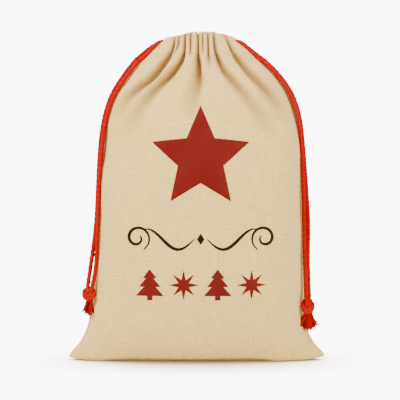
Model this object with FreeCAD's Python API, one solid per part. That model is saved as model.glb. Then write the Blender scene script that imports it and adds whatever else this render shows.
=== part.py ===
import FreeCAD, Part
import math
import os

os.makedirs("parts", exist_ok=True)

# Drawstring gift sack, standing filled out and drawn shut. Millimetres.
# X runs to the sack's left-hand side as it faces -Y, Z is up, the origin is under
# the middle of the base.

V = FreeCAD.Vector

# ---- driving dimensions -------------------------------------------------------
CLOTH = 2.0               # wall of the soft solids, cloth with its small folds
SEAM_HALF_GAP = 0.25      # half the slot between front and back panel at the side
NECK_Z = 580.0            # where the sewn panels end and the split casing begins
CASING_GAP = 0.5          # clearance under each casing
CASING_TOP = 631.0        # crown of the gathered casing
CROWN_DROP = 11.0         # how far the crown falls to the casing's ends
CASING_SPAN = 70.0        # half the casing's length along the crown
MOUTH_HALF = 12.0         # half the width of the drawn mouth
TUNNEL_Y = (-31.0, -14.2)  # the cord tunnel inside the front casing
TUNNEL_Z = (594.0, 621.0)
CASING_ENDS = (-60.0, 74.0)  # where the cords come out of the tunnel
CORD_D = 7.5              # twisted cotton drawcord
CORD_R = CORD_D / 2
FILM = 0.4                # printed film
FILM_LIFT = 0.12          # gap between the cloth and the film
SEAM_WIDTH = 11.0         # seam allowance inside the sack
SEAM_THICK = 2.4
SEAM_CLEAR = 1.6          # from the inside of the cloth to a side seam's edge
BOTTOM_CLEAR = 0.4        # from the cloth on the floor to the bottom seam
STITCH_LEN = 3.2
STITCH_PITCH = 5.0
THREAD = 0.8
CENTRE_X = 8.0            # the print and the neck sit this far off the base's centre

# Body sections from the floor up: height, half width, half depth, exponent of the
# rounded outline, and the section's centre in X.
BODY = [
    (0.0, 222.0, 50.0, 1.9, 0.0),
    (6.0, 246.5, 58.0, 1.75, 0.5),
    (16.0, 242.0, 66.0, 1.75, 0.5),
    (32.0, 228.0, 75.0, 1.85, 0.5),
    (56.0, 214.5, 85.0, 1.95, 0.5),
    (92.0, 204.0, 94.0, 2.05, 1.5),
    (150.0, 197.0, 102.0, 2.15, 5.5),
    (240.0, 193.0, 106.0, 2.2, 8.0),
    (330.0, 191.5, 104.0, 2.2, 8.0),
    (410.0, 187.0, 97.0, 2.2, 10.0),
    (465.0, 179.0, 87.0, 2.15, 10.5),
    (504.0, 166.0, 77.0, 2.1, 11.5),
    (542.0, 142.0, 65.0, 2.1, 11.5),
    (565.0, 123.0, 56.5, 2.1, 9.5),
    (NECK_Z, 110.0, 51.0, 2.1, 8.0),
]
# Casing sections above the split, in the same form.
NECK = [
    (NECK_Z + CASING_GAP, 110.0, 51.0, 2.3, 8.0),
    (592.0, 96.0, 46.0, 2.4, 8.0),
    (604.0, 84.0, 42.0, 2.5, 7.5),
    (616.0, 72.0, 38.0, 2.5, 7.0),
    (CASING_TOP + 2.0, 62.0, 32.0, 2.5, 5.0),
]
OUTLINE_STEPS = 14        # spans in a half outline

# Cord routes outside the casing, from the pivot on the shoulder to the knot.
LEFT_FRONT_ROUTE = [
    (-110.9, -14.0, 576.0), (-127.0, -14.0, 556.5), (-141.5, -14.5, 536.0),
    (-155.5, -15.0, 513.5), (-167.0, -15.0, 487.0), (-175.0, -15.5, 456.0),
    (-180.5, -16.0, 416.0), (-184.5, -17.0, 368.0), (-187.0, -18.5, 318.0),
    (-188.5, -20.0, 268.0), (-190.5, -21.5, 226.0), (-193.5, -23.0, 192.0),
    (-196.5, -25.0, 166.0), (-200.5, -27.5, 138.0),
]
LEFT_BACK_ROUTE = [
    (-115.0, -7.0, 580.0), (-131.0, -7.0, 560.5), (-145.5, -7.0, 540.0),
    (-160.0, -7.5, 517.5), (-171.5, -8.0, 490.0), (-179.5, -8.5, 458.0),
    (-185.0, -8.5, 418.0), (-188.0, -9.0, 370.0), (-190.0, -10.0, 320.0),
    (-191.5, -11.0, 270.0), (-196.5, -12.5, 226.0), (-201.5, -14.0, 194.0),
    (-205.0, -17.0, 168.0), (-208.5, -22.0, 139.0),
]
RIGHT_FRONT_ROUTE = [
    (128.0, -15.0, 575.0), (147.0, -15.0, 557.0), (163.5, -15.5, 537.5),
    (178.5, -16.0, 515.5), (190.0, -16.5, 489.0), (197.5, -17.0, 457.0),
    (201.5, -17.5, 415.0), (204.0, -18.0, 368.0), (205.5, -19.0, 318.0),
    (206.0, -20.0, 270.0), (206.5, -21.5, 228.0), (207.5, -23.5, 190.0),
    (208.5, -26.0, 155.0), (208.0, -29.0, 119.0),
]
RIGHT_BACK_ROUTE = [
    (130.5, -6.8, 577.5), (149.5, -6.8, 559.5), (166.0, -7.3, 540.0),
    (181.5, -7.8, 517.5), (193.0, -8.3, 490.5), (200.5, -8.8, 458.5),
    (205.0, -9.4, 416.0), (208.5, -10.0, 368.0), (212.0, -11.0, 318.0),
    (215.0, -12.0, 272.0), (214.5, -13.5, 230.0), (213.5, -16.0, 192.0),
    (214.5, -19.0, 157.0), (216.5, -24.0, 120.0),
]
# Cord leads held by the casing: from the turn at the far end, along the tunnel,
# out of the near end and down to just above the pivot.
LEFT_FRONT_LEAD = [
    (92.0, -0.6, 601.0), (92.0, -9.0, 601.0), (85.0, -16.0, 601.0),
    (72.0, -18.6, 601.5), (28.0, -18.6, 605.0), (-24.0, -18.6, 609.5),
    (-64.0, -18.9, 612.5), (-80.0, -17.8, 609.5), (-93.0, -15.9, 597.0),
    (-105.0, -14.4, 583.5),
]
LEFT_BACK_LEAD = [
    (92.0, 0.6, 601.0), (92.0, 9.0, 601.0), (85.0, 16.0, 601.0),
    (72.0, 18.6, 601.5), (28.0, 18.6, 605.0), (-24.0, 18.6, 609.5),
    (-62.0, 18.9, 613.0), (-79.0, 10.0, 613.0), (-95.0, -1.5, 602.5),
    (-108.5, -6.4, 588.0),
]
RIGHT_FRONT_LEAD = [
    (-77.0, -0.6, 600.0), (-77.0, -13.0, 600.0), (-71.0, -23.0, 600.0),
    (-58.0, -26.6, 600.5), (-14.0, -26.6, 604.5), (36.0, -26.6, 609.5),
    (76.0, -25.6, 612.5), (93.0, -20.5, 609.0), (107.0, -16.8, 597.0),
    (121.0, -15.2, 582.0),
]
RIGHT_BACK_LEAD = [
    (-77.0, 0.6, 600.0), (-77.0, 13.0, 600.0), (-71.0, 23.0, 600.0),
    (-58.0, 26.6, 600.5), (-14.0, 26.6, 604.5), (36.0, 26.6, 609.5),
    (76.0, 24.0, 613.5), (93.0, 13.0, 611.5), (108.5, 0.5, 600.0),
    (122.5, -6.0, 586.5),
]
LEFT_KNOT = (-205.3, -25.5, 128.0)
RIGHT_KNOT = (212.3, -27.5, 104.0)
LEFT_KNOT_HALF = (13.0, 13.0)     # radius and half height
RIGHT_KNOT_HALF = (13.0, 16.5)
LEFT_FRAY = ((-205.8, -27.0, 121.0), (-206.3, -32.0, 88.0), 5.0, 9.0)
RIGHT_FRAY = ((212.5, -28.5, 94.0), (213.8, -36.0, 60.0), 5.5, 12.5)

# Print artwork on the front, centred on CENTRE_X.
STAR_CENTRE_Z = 385.5
STAR_RADIUS = 95.7
STAR_WAIST = 0.465        # inner corner radius over outer
STAR_STRETCH = 1.04       # the star is a little taller than it is wide
SCROLL_Z = 235.5
ORNAMENT_Z = 149.0
ORNAMENT_PITCH = 63.0
ORNAMENT_HALF = 27.0
SNOW_STAR_WAIST = 0.36
CUTTER_DEPTH = 150.0      # deeper than the sack's front, so a figure cuts right through


# ---- building blocks ----------------------------------------------------------
def half_outline(section, grow, side):
    """Points of one half of a section, from its -X end to its +X end."""
    z, half_w, half_d, power, centre = section
    points = []
    for step in range(OUTLINE_STEPS + 1):
        turn = math.pi * step / OUTLINE_STEPS
        across = math.copysign(abs(math.cos(turn)) ** (2 / power), math.cos(turn))
        out = abs(math.sin(turn)) ** (2 / power)
        if step in (0, OUTLINE_STEPS):
            out = 0.0
        points.append(V(centre - (half_w + grow) * across, side * (half_d + grow) * out, z))
    return points


def outline_edge(points):
    curve = Part.BSplineCurve()
    marks = [i / OUTLINE_STEPS for i in range(OUTLINE_STEPS + 1)]
    curve.interpolate(Points=points, Parameters=marks)
    return curve.toShape()


def line(a, b):
    return Part.LineSegment(a, b).toShape()


def smooth_edge(points):
    curve = Part.BSplineCurve()
    curve.interpolate(points)
    return curve.toShape()


def full_loft(sections, grow):
    """The whole rounded body through a set of sections, as a filled solid."""
    wires = []
    for section in sections:
        front = half_outline(section, grow, -1.0)
        back = half_outline(section, grow, 1.0)
        back.reverse()
        wires.append(Part.Wire([outline_edge(front), outline_edge(back)]))
    return Part.makeLoft(wires, True, False)


def box(x0, x1, y0, y1, z0, z1):
    return Part.makeBox(x1 - x0, y1 - y0, z1 - z0, V(x0, y0, z0))


FRONT_HALF = box(-400, 400, -200, -SEAM_HALF_GAP, 0, 700)


def to_back(shape):
    """The same piece on the back of the sack."""
    return shape.mirror(V(0, 0, 0), V(0, 1, 0))


def save(shape, node):
    solids = shape.Solids
    assert solids, node
    shape = solids[0] if len(solids) == 1 else Part.makeCompound(solids)
    assert shape.isValid(), node
    shape.exportStep("parts/" + node + ".step")
    print(node, len(solids), "solid,", round(shape.Volume / 1000, 2), "cm3")


# ---- panels and seams ---------------------------------------------------------
def front_panel():
    inside = full_loft(BODY, -CLOTH).common(box(-400, 400, -200, 200, CLOTH, NECK_Z + 1.0))
    return full_loft(BODY, 0.0).cut(inside).common(FRONT_HALF)


def side_points(sign, inset):
    """Where the panels meet at one side, moved inwards, up to the foot of the side slit."""
    return [V(s[4] + sign * (s[1] - inset), 0, s[0]) for s in BODY[2:-1]]


def strip(outer_points, inner_points, thick):
    """A flat strip in the XZ plane between two smooth lines."""
    outer = smooth_edge(outer_points)
    inner = smooth_edge(inner_points)
    face = Part.Face(Part.Wire([outer, line(outer_points[-1], inner_points[-1]), inner,
                                line(inner_points[0], outer_points[0])]))
    face.translate(V(0, -thick / 2, 0))
    return face.extrude(V(0, thick, 0))


def side_seam(sign):
    outer = side_points(sign, CLOTH + SEAM_CLEAR)
    inner = side_points(sign, CLOTH + SEAM_CLEAR + SEAM_WIDTH)
    return strip(outer, inner, SEAM_THICK)


def bottom_seam():
    half = BODY[0][1] - 24.0
    return box(-half, half, -SEAM_THICK / 2, SEAM_THICK / 2,
               CLOTH + BOTTOM_CLEAR, CLOTH + BOTTOM_CLEAR + SEAM_WIDTH)


def stitches(path, face_y, count, sides=(-1.0, 1.0)):
    """Short thread bars along an edge, proud of both faces of a seam."""
    bars = []
    span = path.LastParameter - path.FirstParameter
    for i in range(count):
        at = path.FirstParameter + span * (i + 0.5) / count
        place = path.valueAt(at)
        along = path.tangentAt(at).normalize()
        for side in sides:
            centre = V(place.x, place.y + side * face_y, place.z)
            start = centre - along * (STITCH_LEN / 2)
            bars.append(Part.makeCylinder(THREAD / 2, STITCH_LEN, start, along))
    return Part.makeCompound(bars)


def side_stitching(sign):
    middle = side_points(sign, CLOTH + SEAM_CLEAR + SEAM_WIDTH * 0.35)
    edge = smooth_edge(middle)
    return stitches(edge, SEAM_THICK / 2 + THREAD / 2 + 0.1, int(edge.Length / STITCH_PITCH / 2))


def bottom_stitching():
    half = BODY[0][1] - 30.0
    height = CLOTH + BOTTOM_CLEAR + SEAM_WIDTH * 0.5
    edge = line(V(-half, 0, height), V(half, 0, height))
    return stitches(edge, SEAM_THICK / 2 + THREAD / 2 + 0.1, int(edge.Length / STITCH_PITCH / 2))


# ---- casing -------------------------------------------------------------------
def crown_cutter():
    """A drum whose top is the crown of the gathered casing."""
    radius = (CASING_SPAN ** 2 + CROWN_DROP ** 2) / (2 * CROWN_DROP)
    return Part.makeCylinder(radius, 200.0, V(7.0, -100.0, CASING_TOP - radius), V(0, 1, 0))


def front_casing():
    front_side = box(-400, 400, -200, -MOUTH_HALF, -1, 700)
    skin = full_loft(NECK, 0.0).common(crown_cutter()).common(front_side)
    hollow = full_loft(NECK, -CLOTH).common(box(-200, 200, -100, 10, NECK_Z, TUNNEL_Z[0] - CLOTH))
    tunnel = box(-150, 150, TUNNEL_Y[0], TUNNEL_Y[1], TUNNEL_Z[0], TUNNEL_Z[1])
    left_mouth = box(-150, CASING_ENDS[0], TUNNEL_Y[0], 0, TUNNEL_Z[0] - CLOTH - 1.0, 700)
    right_mouth = box(CASING_ENDS[1], 150, TUNNEL_Y[0], 0, TUNNEL_Z[0] - CLOTH - 1.0, 700)
    return skin.cut(hollow).cut(tunnel).cut(left_mouth).cut(right_mouth)


def casing_stitching():
    """The row of thread that closes the casing, on the outside of the cloth."""
    section = (NECK_Z + 6.0, 103.0, 48.8, 2.35, 8.0)
    edge = outline_edge(half_outline(section, THREAD / 2 + 0.35, -1.0))
    row = stitches(edge, 0.0, int(edge.Length / STITCH_PITCH), sides=(0.0,))
    clear_of_slit = -MOUTH_HALF - 4.0
    return Part.makeCompound([bar for bar in row.Solids if bar.BoundBox.YMax < clear_of_slit])


def bar_tacks():
    """Dense thread bars that stop the casing's ends from tearing."""
    tacks = []
    for sign in (-1.0, 1.0):
        for i in range(6):
            x = CENTRE_X + sign * (64.0 + 1.1 * i)
            tacks.append(Part.makeCylinder(THREAD / 2, 7.0,
                                           V(x, 1.0 - MOUTH_HALF + THREAD / 2, 585.0), V(0, 0, 1)))
    return Part.makeCompound(tacks)


# ---- cords --------------------------------------------------------------------
def cord_tube(points, name, ball_start=False, radius=CORD_R):
    """A tube along straight runs joined by tangent arcs."""
    corners = [V(*p) for p in points]
    edges = []
    start = corners[0]
    smallest = 1e9
    for i in range(1, len(corners) - 1):
        back = corners[i - 1] - corners[i]
        ahead = corners[i + 1] - corners[i]
        shorter = min(back.Length, ahead.Length)
        turn = math.pi - back.getAngle(ahead)
        bend = 0.45 * shorter / math.tan(turn / 2)
        smallest = min(smallest, bend)
        reach = 0.45 * shorter
        back.normalize()
        ahead.normalize()
        first = corners[i] + back * reach
        last = corners[i] + ahead * reach
        middle_way = (back + ahead).normalize()
        to_centre = math.hypot(bend, reach)
        middle = corners[i] + middle_way * (to_centre - bend)
        if (first - start).Length > 1e-6:
            edges.append(line(start, first))
        edges.append(Part.Arc(first, middle, last).toShape())
        start = last
    edges.append(line(start, corners[-1]))
    path = Part.Wire(edges)
    direction = corners[1] - corners[0]
    ring = Part.Wire(Part.makeCircle(radius, corners[0], direction))
    tube = path.makePipeShell([ring], True, True)
    if not isinstance(tube, Part.Solid):
        tube = Part.Solid(tube) if tube.ShapeType == "Shell" else tube.Solids[0]
    ideal = math.pi * radius ** 2 * path.Length
    print(name, "length", round(path.Length, 1), "smallest radius", round(smallest, 1),
          "volume ratio", round(tube.Volume / ideal, 4))
    if ball_start:
        tube = tube.fuse(Part.makeSphere(radius, corners[0]))
    return tube


def knot(centre, half):
    """A rounded barrel that stands for the pulled overhand knot."""
    radius, height = half
    outline = smooth_edge([V(0, 0, height), V(radius * 0.62, 0, height * 0.86),
                           V(radius * 0.97, 0, height * 0.35), V(radius * 0.97, 0, -height * 0.35),
                           V(radius * 0.62, 0, -height * 0.86), V(0, 0, -height)])
    axis = line(V(0, 0, -height), V(0, 0, height))
    face = Part.Face(Part.Wire([outline, axis]))
    solid = face.revolve(V(0, 0, 0), V(0, 0, 1), 360)
    solid.translate(V(*centre))
    return solid


def frayed_end(top, bottom, top_r, bottom_r):
    top = V(*top)
    bottom = V(*bottom)
    return Part.makeCone(top_r, bottom_r, (bottom - top).Length, top, bottom - top)


# ---- print --------------------------------------------------------------------
def film_slab():
    """The thin layer that lies on the front of the sack, before it is cut."""
    slab = full_loft(BODY, FILM_LIFT + FILM).cut(full_loft(BODY, FILM_LIFT))
    return slab.common(box(-170, 190, -200, -20, 80, 540))


def plate(points):
    """A straight-sided figure in the XZ plane, thick enough to cut the film."""
    corners = [V(p[0], 0, p[1]) for p in points]
    wire = Part.makePolygon(corners + [corners[0]])
    return Part.Face(wire).extrude(V(0, -CUTTER_DEPTH, 0))


def ribbon(centre_line, widths):
    """A pen stroke in the XZ plane that swells and thins along its line."""
    count = len(centre_line)
    sides = ([], [])
    for i, (x, z) in enumerate(centre_line):
        before = centre_line[max(i - 1, 0)]
        after = centre_line[min(i + 1, count - 1)]
        run = math.hypot(after[0] - before[0], after[1] - before[1])
        normal = (-(after[1] - before[1]) / run, (after[0] - before[0]) / run)
        for side, sign in zip(sides, (1, -1)):
            reach = sign * widths[i] / 2
            side.append(V(x + normal[0] * reach, 0, z + normal[1] * reach))
    wire = Part.Wire([smooth_edge(sides[0]), line(sides[0][-1], sides[1][-1]),
                      smooth_edge(sides[1]), line(sides[1][0], sides[0][0])])
    return Part.Face(wire).extrude(V(0, -CUTTER_DEPTH, 0))


def star_points(centre_x, centre_z, radius, waist, tips, stretch=1.0):
    points = []
    for i in range(2 * tips):
        reach = radius if i % 2 == 0 else radius * waist
        angle = math.pi / 2 + math.pi * i / tips
        points.append((centre_x + reach * math.cos(angle),
                       centre_z + stretch * reach * math.sin(angle)))
    return points


def scroll_cutters():
    """A mirrored pen flourish: two curls, two waves and a small lozenge."""
    cutters = []
    for sign in (-1, 1):
        curl = []
        widths = []
        for i in range(15):
            angle = math.radians(-60 + 33 * i)
            reach = 25.0 - 1.35 * i
            curl.append((CENTRE_X + sign * (118.0 - reach * math.cos(angle)),
                         SCROLL_Z + 2.0 + reach * math.sin(angle)))
            widths.append(2.2 + 3.6 * math.sin(math.pi * i / 14))
        cutters.append(ribbon(curl, widths))
        wave = []
        swell = []
        for i in range(11):
            part = i / 10
            wave.append((CENTRE_X + sign * (12.0 + 92.0 * part),
                         SCROLL_Z - 19.0 * math.sin(2 * math.pi * part * 0.78)))
            swell.append(1.8 + 4.4 * math.sin(math.pi * part))
        cutters.append(ribbon(wave, swell))
    cutters.append(plate([(CENTRE_X - 7, SCROLL_Z), (CENTRE_X, SCROLL_Z + 11),
                          (CENTRE_X + 7, SCROLL_Z), (CENTRE_X, SCROLL_Z - 11)]))
    return cutters


def tree_points(centre_x):
    """A fir tree of three tiers, one side then the other."""
    half, low = ORNAMENT_HALF, ORNAMENT_Z - ORNAMENT_HALF
    right = [(0, 58), (13, 41), (7, 41), (20, 25), (11, 25), (26, 8), (5, 8), (5, 0)]
    scale = 2 * half / 54.0
    side = [(x * scale, z * scale) for x, z in right]
    points = [(centre_x + x, low + z) for x, z in side]
    points += [(centre_x - x, low + z) for x, z in reversed(side[1:])]
    return points


def ornament_cutters():
    """Four simple figures in a row: tree, snow star, tree, snow star."""
    cutters = []
    for i in range(4):
        centre_x = CENTRE_X + (i - 1.5) * ORNAMENT_PITCH
        if i % 2 == 0:
            figure = tree_points(centre_x)
        else:
            figure = star_points(centre_x, ORNAMENT_Z + 1.5, ORNAMENT_HALF + 1.5, SNOW_STAR_WAIST, 8)
        cutters.append(plate(figure))
    return cutters


def cut_film(slab, cutters):
    pieces = [slab.common(cutter) for cutter in cutters]
    solids = []
    for piece in pieces:
        solids += piece.Solids
    return Part.makeCompound(solids)


# ---- the sack -----------------------------------------------------------------
panel = front_panel()
save(panel, "front_panel")
save(to_back(panel), "back_panel")
save(side_seam(-1), "left_side_seam")
save(side_seam(1), "right_side_seam")
save(bottom_seam(), "bottom_seam")
save(side_stitching(-1), "left_seam_stitching")
save(side_stitching(1), "right_seam_stitching")
save(bottom_stitching(), "bottom_seam_stitching")

casing = front_casing()
save(casing, "front_casing")
save(to_back(casing), "back_casing")
row = casing_stitching()
save(row, "front_casing_stitching")
save(to_back(row), "back_casing_stitching")
tacks = bar_tacks()
save(tacks, "front_bar_tacks")
save(to_back(tacks), "back_bar_tacks")

slab = film_slab()
star = star_points(CENTRE_X, STAR_CENTRE_Z, STAR_RADIUS, STAR_WAIST, 5, STAR_STRETCH)
save(cut_film(slab, [plate(star)]), "star_print")
save(cut_film(slab, scroll_cutters()), "scroll_print")
save(cut_film(slab, ornament_cutters()), "ornament_print")

for node, route in (("left_cord_front_lead", LEFT_FRONT_LEAD),
                    ("left_cord_back_lead", LEFT_BACK_LEAD),
                    ("right_cord_front_lead", RIGHT_FRONT_LEAD),
                    ("right_cord_back_lead", RIGHT_BACK_LEAD)):
    save(cord_tube(route, node), node)
for node, route in (("left_cord_front_strand", LEFT_FRONT_ROUTE),
                    ("left_cord_back_strand", LEFT_BACK_ROUTE),
                    ("right_cord_front_strand", RIGHT_FRONT_ROUTE),
                    ("right_cord_back_strand", RIGHT_BACK_ROUTE)):
    save(cord_tube(route, node, ball_start=True), node)
save(knot(LEFT_KNOT, LEFT_KNOT_HALF), "left_knot")
save(knot(RIGHT_KNOT, RIGHT_KNOT_HALF), "right_knot")
save(frayed_end(*LEFT_FRAY), "left_frayed_end")
save(frayed_end(*RIGHT_FRAY), "right_frayed_end")
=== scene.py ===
"""A drawstring gift sack: its cloth, casing, cords, knots, print and stitching.

Everything is in metres in the part's own frame: X to the right of the printed front,
-Y out of the front, Z up, origin on the floor under the middle of the base.
"""

import math

import bmesh
import bpy
import numpy as np
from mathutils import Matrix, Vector
from mathutils.bvhtree import BVHTree
from mathutils.geometry import delaunay_2d_cdt


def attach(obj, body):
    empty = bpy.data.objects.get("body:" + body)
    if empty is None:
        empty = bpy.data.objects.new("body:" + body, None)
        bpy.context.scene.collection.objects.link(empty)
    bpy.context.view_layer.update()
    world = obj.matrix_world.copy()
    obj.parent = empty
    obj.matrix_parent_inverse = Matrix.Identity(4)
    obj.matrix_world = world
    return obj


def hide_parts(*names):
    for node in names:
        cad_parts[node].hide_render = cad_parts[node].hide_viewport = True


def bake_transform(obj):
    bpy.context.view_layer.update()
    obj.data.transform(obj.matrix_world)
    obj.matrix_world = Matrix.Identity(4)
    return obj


bl_info = {
    "name": "Drawstring Gift Sack",
    "version": (1, 0, 0),
    "blender": (4, 5, 0),
    "location": "View3D > Sidebar > Gift Sack",
    "description": "Builds a filled drawstring gift sack with cords, knots and a print",
    "category": "Add Mesh",
}

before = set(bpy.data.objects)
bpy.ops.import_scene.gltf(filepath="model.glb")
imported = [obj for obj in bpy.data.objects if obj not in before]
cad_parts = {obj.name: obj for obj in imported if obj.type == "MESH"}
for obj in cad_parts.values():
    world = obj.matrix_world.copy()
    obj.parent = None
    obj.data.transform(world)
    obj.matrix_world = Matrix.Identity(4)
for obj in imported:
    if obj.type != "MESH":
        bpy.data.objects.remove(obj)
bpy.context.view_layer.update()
MM = 0.001

# ---- the sack's body ------------------------------------------------------------
# Height, half width, half depth, roundness and middle of each section, from the
# floor to the crown of the gathers.
SECTIONS = np.array([
    (0.000, 0.2225, 0.050, 1.65, 0.0000),
    (0.006, 0.2465, 0.057, 1.60, 0.0005),
    (0.016, 0.2415, 0.066, 1.65, 0.0005),
    (0.032, 0.2275, 0.076, 1.80, 0.0005),
    (0.056, 0.2145, 0.086, 1.95, 0.0005),
    (0.092, 0.2040, 0.095, 2.10, 0.0015),
    (0.150, 0.1982, 0.102, 2.20, 0.0055),
    (0.240, 0.1940, 0.105, 2.25, 0.0080),
    (0.330, 0.1915, 0.103, 2.25, 0.0080),
    (0.410, 0.1870, 0.096, 2.20, 0.0105),
    (0.465, 0.1790, 0.086, 2.15, 0.0105),
    (0.504, 0.1660, 0.076, 2.10, 0.0115),
    (0.542, 0.1420, 0.064, 2.10, 0.0115),
    (0.565, 0.1225, 0.056, 2.10, 0.0095),
    (0.580, 0.1090, 0.051, 2.20, 0.0080),
    (0.592, 0.0960, 0.046, 2.40, 0.0080),
    (0.604, 0.0835, 0.042, 2.50, 0.0075),
    (0.616, 0.0730, 0.038, 2.50, 0.0070),
    (0.632, 0.0640, 0.033, 2.50, 0.0060),
])
STITCH_LINE = 0.586          # where the casing's hem is sewn down
SLIT_FOOT = 0.565            # the side seams stop here, below the casing
SLIT_HALF = 0.009
CASING_THICK = 0.025         # a gathered casing, outer wall to hem
CORD_CLEAR_Y = -0.0293       # no pleat sinks further than this, where the cords pass
SEAM_RIDGE = 0.0046          # how far the side seams stand out
CLOTH_THICK = 0.0008
CLOTH_WIDE, CLOTH_LONG = 0.50, 0.655
CROWN = 0.632
COLUMNS = 232

# Routes of the cords, from the turn inside the far end of the casing to the pivot on
# the shoulder, then down to the knot. They repeat the part's source, except where points
# are moved to bring the braid against the cloth: leads up to 7 mm, strands up to 3 mm.
LEADS = {
    "left_cord_front": [
        (0.0920, -0.0006, 0.6010), (0.0920, -0.0090, 0.6010), (0.0850, -0.0160, 0.6010),
        (0.0720, -0.0186, 0.6015), (0.0280, -0.0186, 0.6050), (-0.0240, -0.0186, 0.6095),
        (-0.0640, -0.0189, 0.6125), (-0.0775, -0.0212, 0.6070), (-0.0888, -0.0195, 0.5928),
        (-0.1020, -0.0168, 0.5808),
    ],
    "left_cord_back": [
        (0.0920, 0.0006, 0.6010), (0.0920, 0.0090, 0.6010), (0.0850, 0.0160, 0.6010),
        (0.0720, 0.0186, 0.6015), (0.0280, 0.0186, 0.6050), (-0.0240, 0.0186, 0.6095),
        (-0.0620, 0.0189, 0.6130), (-0.0770, 0.0100, 0.6108), (-0.0925, -0.0018, 0.5992),
        (-0.1067, -0.0065, 0.5858),
    ],
    "right_cord_front": [
        (-0.0770, -0.0006, 0.6000), (-0.0770, -0.0130, 0.6000), (-0.0710, -0.0230, 0.6000),
        (-0.0580, -0.0248, 0.6005), (-0.0140, -0.0248, 0.6045), (0.0360, -0.0248, 0.6095),
        (0.0760, -0.0246, 0.6125), (0.0892, -0.0232, 0.6074), (0.1026, -0.0198, 0.5944),
        (0.1182, -0.0165, 0.5796),
    ],
    "right_cord_back": [
        (-0.0770, 0.0006, 0.6000), (-0.0770, 0.0130, 0.6000), (-0.0710, 0.0230, 0.6000),
        (-0.0580, 0.0266, 0.6005), (-0.0140, 0.0266, 0.6045), (0.0360, 0.0266, 0.6095),
        (0.0760, 0.0240, 0.6135), (0.0915, 0.0122, 0.6090), (0.1058, -0.0005, 0.5968),
        (0.1206, -0.0064, 0.5838),
    ],
}
STRANDS = {
    "left_cord_front": [
        (-0.1109, -0.0140, 0.5760), (-0.1270, -0.0140, 0.5565), (-0.1415, -0.0145, 0.5360),
        (-0.1555, -0.0150, 0.5135), (-0.1670, -0.0150, 0.4870), (-0.1750, -0.0155, 0.4560),
        (-0.1805, -0.0160, 0.4160), (-0.1845, -0.0170, 0.3680), (-0.1870, -0.0185, 0.3180),
        (-0.1885, -0.0200, 0.2680), (-0.1900, -0.0215, 0.2260), (-0.1912, -0.0230, 0.1920),
        (-0.1944, -0.0250, 0.1640), (-0.2000, -0.0275, 0.1380),
    ],
    "left_cord_back": [
        (-0.1150, -0.0070, 0.5800), (-0.1310, -0.0070, 0.5605), (-0.1455, -0.0070, 0.5400),
        (-0.1600, -0.0075, 0.5175), (-0.1715, -0.0080, 0.4900), (-0.1795, -0.0085, 0.4580),
        (-0.1850, -0.0085, 0.4180), (-0.1880, -0.0090, 0.3700), (-0.1900, -0.0100, 0.3200),
        (-0.1920, -0.0110, 0.2700), (-0.1968, -0.0125, 0.2260), (-0.2012, -0.0140, 0.1940),
        (-0.2050, -0.0170, 0.1660), (-0.2085, -0.0220, 0.1390),
    ],
    "right_cord_front": [
        (0.1280, -0.0150, 0.5750), (0.1470, -0.0150, 0.5570), (0.1635, -0.0155, 0.5375),
        (0.1785, -0.0160, 0.5155), (0.1900, -0.0165, 0.4890), (0.1975, -0.0170, 0.4570),
        (0.2015, -0.0175, 0.4150), (0.2040, -0.0180, 0.3680), (0.2055, -0.0190, 0.3180),
        (0.2060, -0.0200, 0.2700), (0.2065, -0.0215, 0.2280), (0.2075, -0.0235, 0.1900),
        (0.2088, -0.0260, 0.1550), (0.2092, -0.0290, 0.1190),
    ],
    "right_cord_back": [
        (0.1305, -0.0068, 0.5775), (0.1495, -0.0068, 0.5595), (0.1660, -0.0073, 0.5400),
        (0.1815, -0.0078, 0.5175), (0.1930, -0.0083, 0.4905), (0.2005, -0.0088, 0.4585),
        (0.2050, -0.0094, 0.4160), (0.2085, -0.0100, 0.3680), (0.2120, -0.0110, 0.3180),
        (0.2150, -0.0120, 0.2720), (0.2145, -0.0135, 0.2300), (0.2135, -0.0160, 0.1920),
        (0.2144, -0.0190, 0.1570), (0.2154, -0.0240, 0.1200),
    ],
}

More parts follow.
